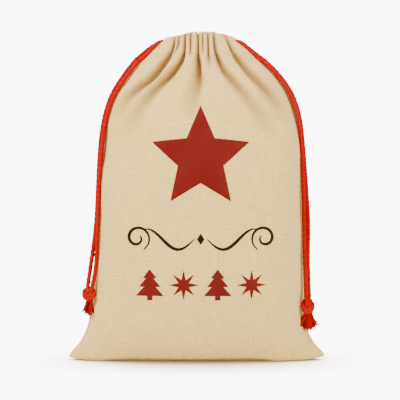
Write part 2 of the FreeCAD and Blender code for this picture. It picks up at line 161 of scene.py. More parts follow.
# Grooves between the front's pleats, each from the crown down: height, x, depth, and
# how far its slope reaches to the left and to the right. Then the form of the two
# slopes below the casing: soft, or ending in a crisp ridge.
FRONT_GROOVES = [
    ([(0.632, -0.040, 0.007, 0.006, 0.004), (0.613, -0.042, 0.011, 0.008, 0.005),
      (0.598, -0.044, 0.014, 0.010, 0.006), (0.585, -0.049, 0.017, 0.013, 0.007),
      (0.562, -0.065, 0.022, 0.018, 0.010), (0.540, -0.085, 0.019, 0.022, 0.014),
      (0.522, -0.109, 0.013, 0.026, 0.020), (0.498, -0.132, 0.007, 0.030, 0.026),
      (0.462, -0.152, 0.0, 0.032, 0.030)], "soft", "soft"),
    ([(0.632, -0.033, 0.006, 0.004, 0.005), (0.612, -0.034, 0.010, 0.005, 0.006),
      (0.603, -0.035, 0.010, 0.005, 0.006), (0.590, -0.040, 0.005, 0.005, 0.006),
      (0.578, -0.044, 0.0, 0.005, 0.006)], "soft", "soft"),
    ([(0.632, -0.022, 0.007, 0.006, 0.005), (0.612, -0.0215, 0.012, 0.007, 0.005),
      (0.596, -0.0215, 0.016, 0.009, 0.005), (0.574, -0.027, 0.021, 0.012, 0.006),
      (0.558, -0.038, 0.021, 0.017, 0.009), (0.538, -0.056, 0.017, 0.022, 0.013),
      (0.520, -0.073, 0.012, 0.026, 0.018), (0.499, -0.091, 0.008, 0.030, 0.024),
      (0.468, -0.112, 0.004, 0.034, 0.030), (0.420, -0.136, 0.0, 0.036, 0.034)], "soft", "ridge"),
    ([(0.632, -0.011, 0.006, 0.005, 0.006), (0.612, -0.0115, 0.010, 0.005, 0.007),
      (0.592, -0.0115, 0.009, 0.005, 0.006), (0.576, -0.011, 0.0, 0.006, 0.006)], "soft", "soft"),
    ([(0.632, 0.003, 0.008, 0.007, 0.0045), (0.607, 0.0038, 0.013, 0.008, 0.0045),
      (0.582, 0.0045, 0.018, 0.011, 0.004), (0.560, 0.0075, 0.022, 0.018, 0.0045),
      (0.540, 0.0082, 0.018, 0.026, 0.007), (0.520, 0.0050, 0.010, 0.032, 0.012),
      (0.490, -0.0040, 0.004, 0.038, 0.020), (0.455, -0.0150, 0.0, 0.040, 0.026)],
     "soft", "ridge"),
    ([(0.632, 0.012, 0.005, 0.0040, 0.0045), (0.610, 0.012, 0.009, 0.0045, 0.005),
      (0.594, 0.012, 0.007, 0.0045, 0.005), (0.580, 0.012, 0.0, 0.005, 0.005)], "soft", "soft"),
    ([(0.632, 0.0215, 0.006, 0.005, 0.005), (0.605, 0.0225, 0.012, 0.0055, 0.005),
      (0.590, 0.023, 0.013, 0.006, 0.005), (0.575, 0.024, 0.008, 0.008, 0.007),
      (0.552, 0.027, 0.0, 0.010, 0.009)], "soft", "soft"),
    ([(0.632, 0.0325, 0.006, 0.006, 0.007), (0.611, 0.0335, 0.011, 0.006, 0.008),
      (0.592, 0.036, 0.015, 0.008, 0.008), (0.571, 0.044, 0.017, 0.012, 0.009),
      (0.553, 0.053, 0.016, 0.016, 0.012), (0.531, 0.0695, 0.012, 0.021, 0.018),
      (0.500, 0.094, 0.007, 0.026, 0.024), (0.462, 0.122, 0.003, 0.030, 0.030),
      (0.420, 0.146, 0.0, 0.032, 0.034)], "soft", "soft"),
    ([(0.632, 0.050, 0.006, 0.007, 0.006), (0.611, 0.059, 0.010, 0.007, 0.010),
      (0.592, 0.067, 0.013, 0.007, 0.013), (0.569, 0.082, 0.018, 0.008, 0.017),
      (0.542, 0.107, 0.016, 0.014, 0.021), (0.517, 0.130, 0.011, 0.020, 0.026),
      (0.490, 0.150, 0.005, 0.026, 0.028), (0.455, 0.164, 0.0, 0.028, 0.028)],
     "ridge", "soft"),
]
# The dog-ear's diagonal fold: height, x and rise along it, and its two reaches.
FRONT_CREASES = [
    ([(0.048, 0.228, 0.0), (0.034, 0.206, -0.0045), (0.020, 0.184, -0.0045),
      (0.006, 0.158, 0.0)], 0.012, 0.018),
]
BACK_CREASES = [
    ([(0.044, -0.224, 0.0), (0.032, -0.204, -0.004), (0.018, -0.184, -0.004),
      (0.006, -0.162, 0.0)], 0.016, 0.012),
]


def back_grooves():
    """Pleats of the back, which fans out from the crown much as the front does."""
    rng = np.random.default_rng(17)
    grooves = []
    for i, crown in enumerate(np.linspace(-0.043, 0.053, 10)):
        x = crown + rng.uniform(-0.0015, 0.0015)
        spread = (x - 0.006) * 1.9 + rng.uniform(-0.006, 0.006)
        long = i % 3 != 1
        line = [(0.632, x, 0.007, 0.005, 0.005), (0.610, x, 0.012, 0.006, 0.006)]
        if long:
            foot = rng.uniform(0.475, 0.505)
            deep = rng.uniform(0.015, 0.020)
            line += [(0.590, x + spread * 0.08, 0.014, 0.008, 0.006),
                     (0.566, x + spread * 0.35, deep, 0.012, 0.010),
                     (0.536, x + spread * 0.75, deep * 0.7, 0.018, 0.014),
                     (foot, x + spread * 1.25, 0.0, 0.024, 0.018)]
        else:
            line += [(0.592, x, 0.010, 0.0055, 0.0055),
                     (0.573, x + spread * 0.15, 0.0, 0.006, 0.006)]
        grooves.append((line, "soft", "ridge" if i % 2 else "soft"))
    return grooves


# ---- small tools ----------------------------------------------------------------
def smooth(t):
    t = np.clip(t, 0.0, 1.0)
    return t * t * (3 - 2 * t)


def hermite(xs, ys, slopes, at):
    """A smooth curve through given points, with a given slope at each."""
    span = np.clip(np.searchsorted(xs, at, side="right") - 1, 0, len(xs) - 2)
    width = xs[span + 1] - xs[span]
    t = np.clip((at - xs[span]) / width, 0.0, 1.0)
    return ((2 * t ** 3 - 3 * t ** 2 + 1) * ys[span]
            + (t ** 3 - 2 * t ** 2 + t) * width * slopes[span]
            + (-2 * t ** 3 + 3 * t ** 2) * ys[span + 1]
            + (t ** 3 - t ** 2) * width * slopes[span + 1])


def curve_through(xs, ys, at):
    """Values of a smooth curve through given points, with no overshoot."""
    xs, ys, at = np.asarray(xs, float), np.asarray(ys, float), np.asarray(at, float)
    slopes = np.diff(ys) / np.diff(xs)
    product = slopes[:-1] * slopes[1:]
    inner = np.where(product > 0, 2 * product
                     / np.where(product > 0, slopes[:-1] + slopes[1:], 1.0), 0.0)
    return hermite(xs, ys, np.concatenate([slopes[:1], inner, slopes[-1:]]), at)


def section_at(height, column):
    return curve_through(SECTIONS[:, 0], SECTIONS[:, column], height)


def ripple(x, z, wave, seed, stretch=1.0, parts=9):
    """A soft uneven surface, about -1 to 1, that repeats nowhere on the sack."""
    rng = np.random.default_rng(seed)
    total = np.zeros_like(x)
    for _ in range(parts):
        heading = rng.uniform(0, 2 * math.pi)
        pitch = wave * rng.uniform(0.7, 1.5)
        phase = rng.uniform(0, 2 * math.pi)
        total += np.cos(2 * math.pi * (x * math.cos(heading) + z * math.sin(heading) / stretch)
                        / pitch + phase)
    return total / math.sqrt(parts / 2) / 2


def new_object(name, data):
    made = bpy.data.objects.new(name, data)
    bpy.context.scene.collection.objects.link(made)
    return made


def mesh_object(name, points, faces, uv=None):
    mesh = bpy.data.meshes.new(name)
    mesh.from_pydata([tuple(p) for p in points], [], [tuple(f) for f in faces])
    if uv is not None:
        layer = mesh.uv_layers.new(name="cloth_uv")
        loops = np.zeros(len(mesh.loops), np.int32)
        mesh.loops.foreach_get("vertex_index", loops)
        layer.data.foreach_set("uv", np.asarray(uv, np.float32)[loops].ravel())
    mesh.polygons.foreach_set("use_smooth", [True] * len(mesh.polygons))
    mesh.update()
    return new_object(name, mesh)


def grid_faces(rows, columns, turned=False, closed=False):
    faces = []
    for r in range(rows - 1):
        for c in range(columns if closed else columns - 1):
            d = (c + 1) % columns
            quad = (r * columns + c, r * columns + d, (r + 1) * columns + d, (r + 1) * columns + c)
            faces.append(quad[::-1] if turned else quad)
    return faces


def finish_piece(piece, material, node, body=None):
    """Give a piece its finish and its body, and hide the model's node that it stands for."""
    piece.data.materials.clear()
    piece.data.materials.append(sack_material(material))
    if body:
        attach(piece, body)
    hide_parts(node)
    return piece


def apply_modifiers(piece):
    depsgraph = bpy.context.evaluated_depsgraph_get()
    mesh = bpy.data.meshes.new_from_object(piece.evaluated_get(depsgraph))
    piece.modifiers.clear()
    piece.data = mesh
    return piece


def thicken(piece, thickness, offset=-1.0):
    wall = piece.modifiers.new("Cloth", "SOLIDIFY")
    wall.thickness = thickness
    wall.offset = offset
    wall.use_even_offset = False
    return apply_modifiers(piece)


# ---- cloth ----------------------------------------------------------------------
def outline_rows(heights, inset=0.0):
    """Half outlines at several heights, evenly spaced along the cloth, from -X to +X."""
    turn = np.linspace(0, math.pi, 481)
    gap = 0.0002 + SLIT_HALF * smooth((heights - SLIT_FOOT) / 0.035)
    rows = np.zeros((len(heights), COLUMNS, 3))
    for r, height in enumerate(heights):
        z = min(max(height, 0.0), CROWN)
        half_w, half_d, power, middle = (float(section_at(z, k)) for k in (1, 2, 3, 4))
        half_w, half_d = half_w - inset, half_d - inset
        x = -half_w * np.sign(np.cos(turn)) * np.abs(np.cos(turn)) ** (2 / power)
        y = gap[r] + (half_d - gap[r]) * np.abs(np.sin(turn)) ** (2 / power)
        ridge = SEAM_RIDGE * float(smooth((z - 0.06) / 0.05) * smooth((0.60 - z) / 0.03))
        x = middle + x + ridge * np.sign(x) * np.exp(-(y / 0.0045) ** 2)
        along = np.concatenate([[0], np.cumsum(np.hypot(np.diff(x), np.diff(y)))])
        at = np.linspace(0, along[-1], COLUMNS)
        rows[r, :, 0] = np.interp(at, along, x)
        rows[r, :, 1] = -np.interp(at, along, y)
        rows[r, :, 2] = height
    return rows


def along_line(line, heights, column):
    """A groove's or a crease's x, depth or reach at each height."""
    ordered = np.array(sorted(line))
    return curve_through(ordered[:, 0], ordered[:, column], heights)


def slope_form(t, form, neck):
    """From 1 in a groove to 0 where its slope ends, sharp in the neck."""
    soft = 0.5 * (1 + np.cos(math.pi * t)) if form == "soft" else 1 - t ** 2
    return neck * (1 - np.sqrt(t * (2 - t))) + (1 - neck) * soft


def groove_slopes(x, heights, grooves):
    """For each groove: its depth, how far out on its slopes each place is, and the forms."""
    for line, left, right in grooves:
        middle, depth, reach_left, reach_right = (along_line(line, heights, k)[:, None]
                                                  for k in (1, 2, 3, 4))
        depth = np.where(heights[:, None] > line[-1][0], depth, 0.0)
        away = x - middle
        on_left = away < 0
        out = np.abs(away) / np.where(on_left, reach_left, reach_right)
        yield depth, out, on_left, left, right


def pleat_sink(x, heights, grooves):
    """How deep the cloth sinks between its pleats."""
    total = np.zeros_like(x)
    neck = smooth((heights - 0.570) / 0.024)[:, None]
    for depth, out, on_left, left, right in groove_slopes(x, heights, grooves):
        t = np.clip(out, 0, 1)
        form = np.where(on_left, slope_form(t, left, neck), slope_form(t, right, neck))
        total += (depth * form) ** 3
    return total ** (1 / 3)


def painted_crease_shade(x, heights, grooves):
    """From 0 to 1, how much painted shade each place gets, from how near it is to a pleat's bottom
    or to a side seam.
    """
    nearest = np.zeros_like(x)
    # painted shade in each pleat's bottom, darker the deeper the groove
    for depth, out, _, _, _ in groove_slopes(x, heights, grooves):
        t = np.clip(out / 0.9, 0, 1)
        nearest = np.maximum(nearest, (1 - smooth(t)) * np.clip(depth / 0.011, 0, 1) ** 0.7)
    columns = np.arange(COLUMNS)
    from_edge = np.minimum(columns, COLUMNS - 1 - columns)
    # painted shadow: a soft band just inside each side seam, stronger low on the sack
    beside_seam = smooth(from_edge / 4) * (1 - smooth((from_edge - 5) / 7))
    standing = smooth((heights - 0.02) / 0.06) * (1 - smooth((heights - 0.50) / 0.05))
    strength = standing * (0.56 - 0.22 * smooth((heights - 0.20) / 0.10))
    return np.maximum(nearest, beside_seam * strength[:, None])


def crease_shape(x, z, creases):
    rise = np.zeros_like(x)
    for line, left, right in creases:
        high, low = line[0][0], line[-1][0]
        height = np.clip(z, low, high).ravel()
        centre, peak = (along_line(line, height, k).reshape(x.shape) for k in (1, 2))
        away = x - centre
        reach = np.where(away < 0, left, right)
        rise += np.where((z >= low) & (z <= high), peak, 0.0) * np.exp(-np.abs(away) / reach)
    return rise


def outward(rows):
    """Unit normals of a grid of points, pointing out of the front."""
    normal = np.cross(np.gradient(rows, axis=1), np.gradient(rows, axis=0))
    normal /= np.maximum(np.linalg.norm(normal, axis=2, keepdims=True), 1e-12)
    return normal


def base_lift(x):
    """The base's front edge rises a little between the corners."""
    right = smooth((0.172 - x) / 0.075)
    left = smooth((x + 0.205) / 0.090)
    return 0.0078 * right * left + 0.002 * smooth((x - 0.205) / 0.040)


def body_heights():
    lower = np.array([0.0, 0.0012, 0.003, 0.0055, 0.009, 0.013, 0.018])
    middle = np.linspace(0.024, 0.462, 66)
    upper = np.linspace(0.466, STITCH_LINE, 60)
    return np.concatenate([lower, middle, upper, [STITCH_LINE + 0.002, STITCH_LINE + 0.0045]])


def outer_skin(heights, grooves, creases, seed):
    """The outside of one half of the sack at the given heights, with its folds."""
    wall = outline_rows(heights)
    x, z = wall[..., 0].copy(), wall[..., 2].copy()
    normal = outward(wall)
    normal[..., 2] *= 1 - smooth((z - 0.540) / 0.030)
    edge = np.linspace(0, 1, COLUMNS)
    hold = smooth(edge / 0.05) * smooth((1 - edge) / 0.05)
    swell = 0.0026 * ripple(x, z, 0.150, seed) + 0.0011 * ripple(x, z, 0.060, seed + 1, 1.8)
    swell += 0.00032 * ripple(x, z, 0.022, seed + 2, 1.4)
    swell *= hold * smooth(z / 0.05) * smooth((0.60 - z) / 0.06)
    pucker = 0.0006 * ripple(x, z * 0, 0.020, seed + 3) * hold * (1 - smooth(z / 0.03))
    move = crease_shape(x, z, creases) * hold - pleat_sink(x, heights, grooves) + swell + pucker
    skin = wall + normal * move[..., None]
    beside_cord = smooth((z - 0.590) / 0.006) * (1 - smooth((z - 0.618) / 0.005))
    kept = np.minimum(skin[..., 1], np.maximum(wall[..., 1], CORD_CLEAR_Y))
    skin[..., 1] = skin[..., 1] * (1 - beside_cord) + kept * beside_cord
    return skin


# Rows of the base under a panel, as shares of the way from the bottom seam to its edge.
UNDER_SHARES = (0.0, 0.12, 0.26, 0.42, 0.56, 0.68, 0.78, 0.86, 0.92, 0.965, 0.99)


def panel_rows(grooves, creases, seed):
    """The whole of one panel, from the bottom seam under the base to the casing."""
    wall = outer_skin(body_heights(), grooves, creases, seed)
    wall[-2:] -= outward(wall)[-2:] * np.array((CLOTH_THICK, 2 * CLOTH_THICK))[:, None, None]
    fall = np.clip(1 - wall[..., 2] / 0.060, 0, 1) ** 2
    wall[..., 2] += base_lift(wall[..., 0]) * fall
    crease = wall[0]
    under = []
    for share in UNDER_SHARES:
        row = crease.copy()
        row[:, 1] = crease[:, 1] * share - 0.0002 * (1 - share)
        row[:, 2] = CLOTH_THICK + (crease[:, 2] - CLOTH_THICK) * smooth((share - 0.45) / 0.55)
        under.append(row)
    rows = np.concatenate([np.array(under), wall])
    rows[..., 2] = np.maximum(rows[..., 2], CLOTH_THICK)
    return rows


def cloth_uv(rows):
    """Places on the flat cloth, in metres, so that its weave has one size."""
    step = np.linalg.norm(np.diff(rows, axis=0), axis=2).mean(axis=1)
    up = np.concatenate([[0], np.cumsum(step)])
    across = np.linspace(-CLOTH_WIDE / 2, CLOTH_WIDE / 2, rows.shape[1])
    return np.stack(np.meshgrid(across, up), axis=2).reshape(-1, 2)


def to_side(rows, side):
    """The rows as they are on the front, or turned to the back."""
    return rows * ((1, 1, 1) if side == "front" else (1, -1, 1))


def cloth_piece(name, rows, side, grooves):
    # painted shade: how dark each point of the cloth is painted in its pleat bottoms and beside its
    # seams
    painted_shade_amount = painted_crease_shade(rows[..., 0], rows[..., 2].mean(axis=1), grooves)
    faces = grid_faces(*rows.shape[:2], turned=side == "back")
    rows = to_side(rows, side)
    piece = mesh_object(name, rows.reshape(-1, 3), faces, cloth_uv(rows))
    layer = piece.data.attributes.new("painted_crease_shade", "FLOAT", "POINT")
    layer.data.foreach_set("value", painted_shade_amount.ravel().astype(np.float32))
    return thicken(piece, CLOTH_THICK)


def casing_rows(grooves, creases, seed):
    """The gathered casing: up the outside, over the crown and down inside the hem."""
    radius = CASING_THICK / 2
    spots = [(t, 0.0) for t in np.linspace(0.0, 1.0, 18)]
    spots += [(1.0, float(a)) for a in np.linspace(0, math.pi, 13)[1:-1]]
    spots += [(t, math.pi) for t in np.linspace(1.0, 0.0, 12)]
    heights = np.concatenate([body_heights()[-6:-3], np.linspace(STITCH_LINE, CROWN, 60)])
    skin = outer_skin(heights, grooves, creases, seed)[3:]
    heights = heights[3:]
    plain_skin = outline_rows(heights)
    inset = outline_rows(heights, CASING_THICK) - plain_skin
    across_cord = 26
    x = skin[across_cord, :, 0]
    level_sink = pleat_sink(plain_skin[..., 0], heights, grooves)[across_cord]
    full = 1 - np.clip(level_sink / 0.011, 0, 1)
    arch = 0.6285 - 0.0095 * np.clip(np.abs(x - 0.014) / 0.074, 0, 1) ** 2.4
    crown = arch + 0.0032 * full - 0.0036 * (1 - full)
    crown += 0.0012 * ripple(x, x * 0, 0.014, seed + 8)
    rows = np.zeros((len(spots), COLUMNS, 3))
    columns = np.arange(COLUMNS)
    shoulder = crown - radius
    for k, (t, angle) in enumerate(spots):
        z = STITCH_LINE + (shoulder - STITCH_LINE) * t + radius * math.sin(angle)
        if angle == math.pi:
            z = np.maximum(z, STITCH_LINE + 0.002)
        level = (z - heights[0]) / (heights[1] - heights[0])
        low = np.clip(np.floor(level).astype(int), 0, len(heights) - 2)
        part = np.clip(level - low, 0, 1)[:, None]
        inward = (1 - math.cos(angle)) / 2
        point = skin[low, columns] * (1 - part) + skin[low + 1, columns] * part
        point += (inset[low, columns] * (1 - part) + inset[low + 1, columns] * part) * inward
        point[:, 2] = z
        rows[k] = point
    rows[0] -= outward(rows)[0] * 0.0005
    return rows


# ---- materials ------------------------------------------------------------------
def add_node(tree, kind, inputs=None, **options):
    """A new node, each of its named inputs set to a value or linked to an output."""
    made = tree.nodes.new(kind)
    for name, value in options.items():
        setattr(made, name, value)
    fill_inputs(tree, made, inputs or {})
    return made


def fill_inputs(tree, made, inputs):
    for name, value in inputs.items():
        if isinstance(value, bpy.types.NodeSocket):
            tree.links.new(value, made.inputs[name])
        else:
            made.inputs[name].default_value = value


def math_node(tree, operation, *values):
    return add_node(tree, "ShaderNodeMath", dict(enumerate(values)), operation=operation).outputs[0]


def noise_node(tree, vector, scale, detail=2.0, roughness=0.5):
    made = add_node(tree, "ShaderNodeTexNoise", {"Vector": vector, "Scale": scale,
                                                 "Detail": detail, "Roughness": roughness})
    return made.outputs["Fac"]


def new_group(name, **numbers):
    """A surface effect: it takes a place and some numbers, and gives a shade and a height."""
    tree = bpy.data.node_groups.new(name, "ShaderNodeTree")
    tree.interface.new_socket("Place", in_out="INPUT", socket_type="NodeSocketVector")
    for label, value in numbers.items():
        socket = tree.interface.new_socket(label.replace("_", " "), in_out="INPUT",
                                           socket_type="NodeSocketFloat")
        socket.default_value = value
    for label in ("Shade", "Height"):
        tree.interface.new_socket(label, in_out="OUTPUT", socket_type="NodeSocketFloat")
    return tree, tree.nodes.new("NodeGroupInput"), tree.nodes.new("NodeGroupOutput")


def weave_group():
    """Plain weave: threads over and under, with painted shade where they dip, slubs along both
    threads and soft mottling.
    """
    tree, start, end = new_group("Plain weave", Thread_pitch=0.0011, Slub=0.5, Mottle=0.5)
    place = start.outputs["Place"]
    split = add_node(tree, "ShaderNodeSeparateXYZ", {0: place})
    turns = []
    for axis in (0, 1):
        count = math_node(tree, "DIVIDE", split.outputs[axis], start.outputs["Thread pitch"])
        turns.append(math_node(tree, "SINE", math_node(tree, "MULTIPLY", count, math.pi)))
    over = math_node(tree, "ABSOLUTE", math_node(tree, "MULTIPLY", *turns))
    streaks = []
    for stretch, seed in (((900.0, 26.0, 1.0), 3.0), ((26.0, 900.0, 1.0), 11.0)):
        scaled = add_node(tree, "ShaderNodeVectorMath", {0: place, 1: stretch}, operation="MULTIPLY")
        shifted = add_node(tree, "ShaderNodeVectorMath",
                           {0: scaled.outputs[0], 1: (0.0, 0.0, seed)}, operation="ADD")
        streaks.append(noise_node(tree, shifted.outputs[0], 1.0))
    slub = math_node(tree, "SUBTRACT", math_node(tree, "ADD", *streaks), 1.0)
    cloud = math_node(tree, "SUBTRACT", noise_node(tree, place, 300.0, 4.0, 0.65), 0.5)
    shade = math_node(tree, "ADD",
                      math_node(tree, "MULTIPLY", slub, start.outputs["Slub"]),
                      math_node(tree, "MULTIPLY", cloud, start.outputs["Mottle"]))
    # painted shade: the over-and-under pattern, which is also the height, darkens the cloth where
    # the threads dip; the slubs and mottling are the cloth's own uneven tone
    thread = math_node(tree, "SUBTRACT", over, 0.40)
    shade = math_node(tree, "ADD", shade, math_node(tree, "MULTIPLY", thread, 0.42))
    height = math_node(tree, "ADD", over, math_node(tree, "MULTIPLY", slub, 0.9))
    fill_inputs(tree, end, {"Shade": shade, "Height": height})


def yarn_group():
    """Yarns laid along a cord, with painted shade in the grooves between them, and the lint that
    softens them.
    """
    tree, start, end = new_group("Cotton yarn", Yarns=26.0, Lint=0.5)
    split = add_node(tree, "ShaderNodeSeparateXYZ", {0: start.outputs["Place"]})
    around = math_node(tree, "MULTIPLY", split.outputs[0], start.outputs["Yarns"])
    along = math_node(tree, "MULTIPLY", split.outputs[1], 420.0)
    turns = math_node(tree, "ADD", around, along)
    wave = math_node(tree, "SINE", math_node(tree, "MULTIPLY", turns, 2 * math.pi))
    place = add_node(tree, "ShaderNodeTexCoord").outputs["Object"]
    fluff = math_node(tree, "SUBTRACT", noise_node(tree, place, 900.0, 3.0), 0.5)
    lint = math_node(tree, "MULTIPLY", fluff, start.outputs["Lint"])
    # painted shade: the yarns' wave darkens the cord in the grooves between yarns, where it is also
    # lower; the lint is the cord's own uneven tone
    for label, share in (("Height", 0.35), ("Shade", 0.12)):
        raised = math_node(tree, "ADD", math_node(tree, "MULTIPLY", wave, share), lint)
        fill_inputs(tree, end, {label: raised})


def shaded_colour(tree, shade, colour, darker, lighter):
    """The base colour made darker or lighter where the surface says so."""
    ramp = add_node(tree, "ShaderNodeValToRGB", {"Fac": math_node(tree, "ADD", shade, 0.5)})
    stops = ramp.color_ramp.elements
    for stop, position, factor in ((stops[0], 0.25, darker), (stops[1], 0.75, lighter)):
        stop.position = position
        stop.color = tuple(min(c * factor, 1.0) for c in colour[:3]) + (1,)
    return ramp.outputs["Color"]


def new_material(name, **inputs):
    """A material whose shader's inputs are set to plain values."""
    material = bpy.data.materials.new(name)
    material.use_nodes = True
    tree = material.node_tree
    shader = tree.nodes["Principled BSDF"]
    fill_inputs(tree, shader, {label.replace("_", " "): value for label, value in inputs.items()})
    return material, tree, shader


def surface_effect(tree, group_name, **numbers):
    """A group placed by the piece's own flat map."""
    place = add_node(tree, "ShaderNodeUVMap", uv_map="cloth_uv").outputs["UV"]
    inputs = {label.replace("_", " "): value for label, value in numbers.items()}
    group = bpy.data.node_groups[group_name]
    made = add_node(tree, "ShaderNodeGroup", node_tree=group)
    fill_inputs(tree, made, {"Place": place, **inputs})
    return made.outputs["Shade"], made.outputs["Height"]


def raise_surface(tree, shader, height, distance, strength):
    bump = add_node(tree, "ShaderNodeBump",
                    {"Height": height, "Distance": distance, "Strength": strength})
    tree.links.new(bump.outputs["Normal"], shader.inputs["Normal"])


def cloth_material(name, colour, thread_pitch):
    """Natural cloth, with painted shade in its pleat bottoms and beside its side seams."""
    material, tree, shader = new_material(name, Roughness=0.92, Specular_IOR_Level=0.12,
                                          Sheen_Weight=0.12, Sheen_Roughness=0.5)
    shade, height = surface_effect(tree, "Plain weave", Thread_pitch=thread_pitch,
                                   Slub=1.25, Mottle=1.9)
    painted_shade_amount = add_node(tree, "ShaderNodeAttribute", attribute_name="painted_crease_shade").outputs["Fac"]
    painted_shade_mix = add_node(tree, "ShaderNodeMix", data_type="RGBA", blend_type="MULTIPLY")
    factor, first, second, mixed = 0, 6, 7, 2
    # the painted shade's colour, multiplied into the cloth's colour as far as the painted shade
    # amount goes
    fill_inputs(tree, painted_shade_mix, {factor: painted_shade_amount, second: (0.41, 0.35, 0.345, 1.0),
                             first: shaded_colour(tree, shade, colour, 0.80, 1.14)})
    tree.links.new(painted_shade_mix.outputs[mixed], shader.inputs["Base Color"])
    raise_surface(tree, shader, height, 0.00030, 0.75)
    return material


def film_material(name, colour, roughness):
    material, tree, shader = new_material(name, Roughness=roughness, Specular_IOR_Level=0.13)
    shade, height = surface_effect(tree, "Plain weave", Thread_pitch=0.0011, Slub=0.25,
                                   Mottle=0.40)
    tree.links.new(shaded_colour(tree, shade, colour, 0.90, 1.10), shader.inputs["Base Color"])
    raise_surface(tree, shader, height, 0.00010, 0.35)
    return material


def cord_material(name, colour):
    material, tree, shader = new_material(
        name, Roughness=0.9, Specular_IOR_Level=0.06, Sheen_Weight=0.10, Sheen_Roughness=0.5,
        Sheen_Tint=(1.0, 0.06, 0.04, 1.0))
    shade, height = surface_effect(tree, "Cotton yarn", Yarns=22.0, Lint=0.7)
    tree.links.new(shaded_colour(tree, shade, colour, 0.72, 1.18), shader.inputs["Base Color"])
    raise_surface(tree, shader, height, 0.0004, 0.6)
    return material


def thread_material(name, colour):
    material, tree, shader = new_material(name, Roughness=0.6, Sheen_Weight=0.2)
    place = add_node(tree, "ShaderNodeTexCoord").outputs["Object"]
    fibres = noise_node(tree, place, 2500.0)
    shade = math_node(tree, "SUBTRACT", fibres, 0.5)
    tree.links.new(shaded_colour(tree, shade, colour, 0.85, 1.1), shader.inputs["Base Color"])
    raise_surface(tree, shader, fibres, 0.0001, 0.5)
    return material


def sack_material(name):
    """One of the sack's materials, made the first time that it is needed."""
    if name in bpy.data.materials:
        return bpy.data.materials[name]
    if "Plain weave" not in bpy.data.node_groups:
        weave_group()
        yarn_group()
    colours = bpy.context.scene.gift_sack_colours
    if name == "natural_cloth":
        return cloth_material(name, colours.cloth_colour, colours.thread_pitch)
    if name == "red_cotton_cord":
        return cord_material(name, colours.cord_colour)
    if name == "sewing_thread":
        return thread_material(name, colours.thread_colour)
    if name == "red_print_film":
        return film_material(name, colours.print_red, 0.48)
    return film_material(name, colours.print_black, 0.45)


# ---- cords ----------------------------------------------------------------------
def spline_points(points, detail=16):
    """Points along the smooth line that a cord follows."""
    curve = bpy.data.curves.new("route", "CURVE")
    curve.dimensions = "3D"
    spline = curve.splines.new("NURBS")
    spline.points.add(len(points) - 1)
    for point, place in zip(spline.points, points):
        point.co = (*place, 1.0)
    spline.order_u = 3
    spline.use_endpoint_u = True
    spline.resolution_u = detail
    holder = new_object("route", curve)
    mesh = bpy.data.meshes.new_from_object(holder)
    line = np.array([v.co[:] for v in mesh.vertices])
    bpy.data.objects.remove(holder)
    bpy.data.curves.remove(curve)
    bpy.data.meshes.remove(mesh)
    return line


def even_points(line, step):
    along = np.concatenate([[0], np.cumsum(np.linalg.norm(np.diff(line, axis=0), axis=1))])
    count = max(int(round(along[-1] / step)), 2)
    at = np.linspace(0, along[-1], count + 1)
    return np.stack([np.interp(at, along, line[:, k]) for k in range(3)], axis=1), at


def carried_frames(line):
    """Two directions across a line that turn as little as they can along it."""
    tangent = np.gradient(line, axis=0)
    tangent /= np.linalg.norm(tangent, axis=1, keepdims=True)
    side = np.cross(tangent[0], (0.0, 1.0, 0.0))
    if np.linalg.norm(side) < 0.1:
        side = np.cross(tangent[0], (1.0, 0.0, 0.0))
    first = np.zeros_like(line)
    first[0] = side / np.linalg.norm(side)
    for i in range(1, len(line)):
        side = first[i - 1] - tangent[i] * np.dot(first[i - 1], tangent[i])
        first[i] = side / np.linalg.norm(side)
    return first, np.cross(tangent, first)


def tube_around(line, along, frames, reach):
    """Points, faces and cloth places of an open tube, reach being its radius all over."""
    turn = np.linspace(0, 2 * math.pi, reach.shape[1], endpoint=False)
    first, second = frames
    points = (line[:, None, :] + first[:, None, :] * (np.cos(turn) * reach)[..., None]
              + second[:, None, :] * (np.sin(turn) * reach)[..., None])
    uv = np.stack(np.meshgrid(turn / (2 * math.pi), along), axis=2)
    return points.reshape(-1, 3), grid_faces(*reach.shape, closed=True), uv.reshape(-1, 2)


def braided_tube(line, radius, phase=0.0, around=24, step=0.0011, part=(0.0, 1e9),
                 round_ends=(True, True), pressed_to=-1.0):
    """Points, faces and cloth places of a braided cord along a stretch of a line.

    The gathers press it thinner as far along as pressed_to.
    """
    line, along = even_points(line, step)
    frames = carried_frames(line)
    keep = (along >= part[0]) & (along <= part[1])
    line, along, frames = line[keep], along[keep], [f[keep] for f in frames]
    turn = np.linspace(0, 2 * math.pi, around, endpoint=False)
    run = along[:, None]
    carriers, rise = 3, 2 * math.pi / 0.0105
    one_way = np.cos(carriers * turn + rise * run + phase)
    other_way = np.cos(carriers * turn - rise * run - phase)
    reach = radius * (1.06 + 0.10 * np.maximum(one_way, other_way))
    reach = reach * (0.62 + 0.38 * smooth((run - pressed_to) / 0.015))
    for rounded, gone in zip(round_ends, (along - along[0], along[-1] - along)):
        if rounded:
            end = np.clip(gone[:, None] / radius, 0, 1)
            reach = reach * np.sqrt(np.clip(1 - (1 - end) ** 2, 0.02, 1))
    points, faces, uv = tube_around(line, along, frames, reach)
    total, last = len(points), len(points) - around
    for c in range(around):
        d = (c + 1) % around
        faces.append((total, d, c))
        faces.append((total + 1, last + c, last + d))
    uv = np.concatenate([uv, uv[:1], uv[last:last + 1]])
    return np.concatenate([points, line[:1], line[-1:]]), faces, uv


def join_parts(parts):
    points, faces, uvs, count = [], [], [], 0
    for flat, part_faces, uv in parts:
        points.append(flat)
        uvs.append(uv)
        faces += [tuple(i + count for i in f) for f in part_faces]
        count += len(flat)
    return np.concatenate(points), faces, np.concatenate(uvs)


def outward_faces(piece):
    mesh = bmesh.new()
    mesh.from_mesh(piece.data)
    bmesh.ops.recalc_face_normals(mesh, faces=mesh.faces)
    mesh.to_mesh(piece.data)
    mesh.free()
    return piece


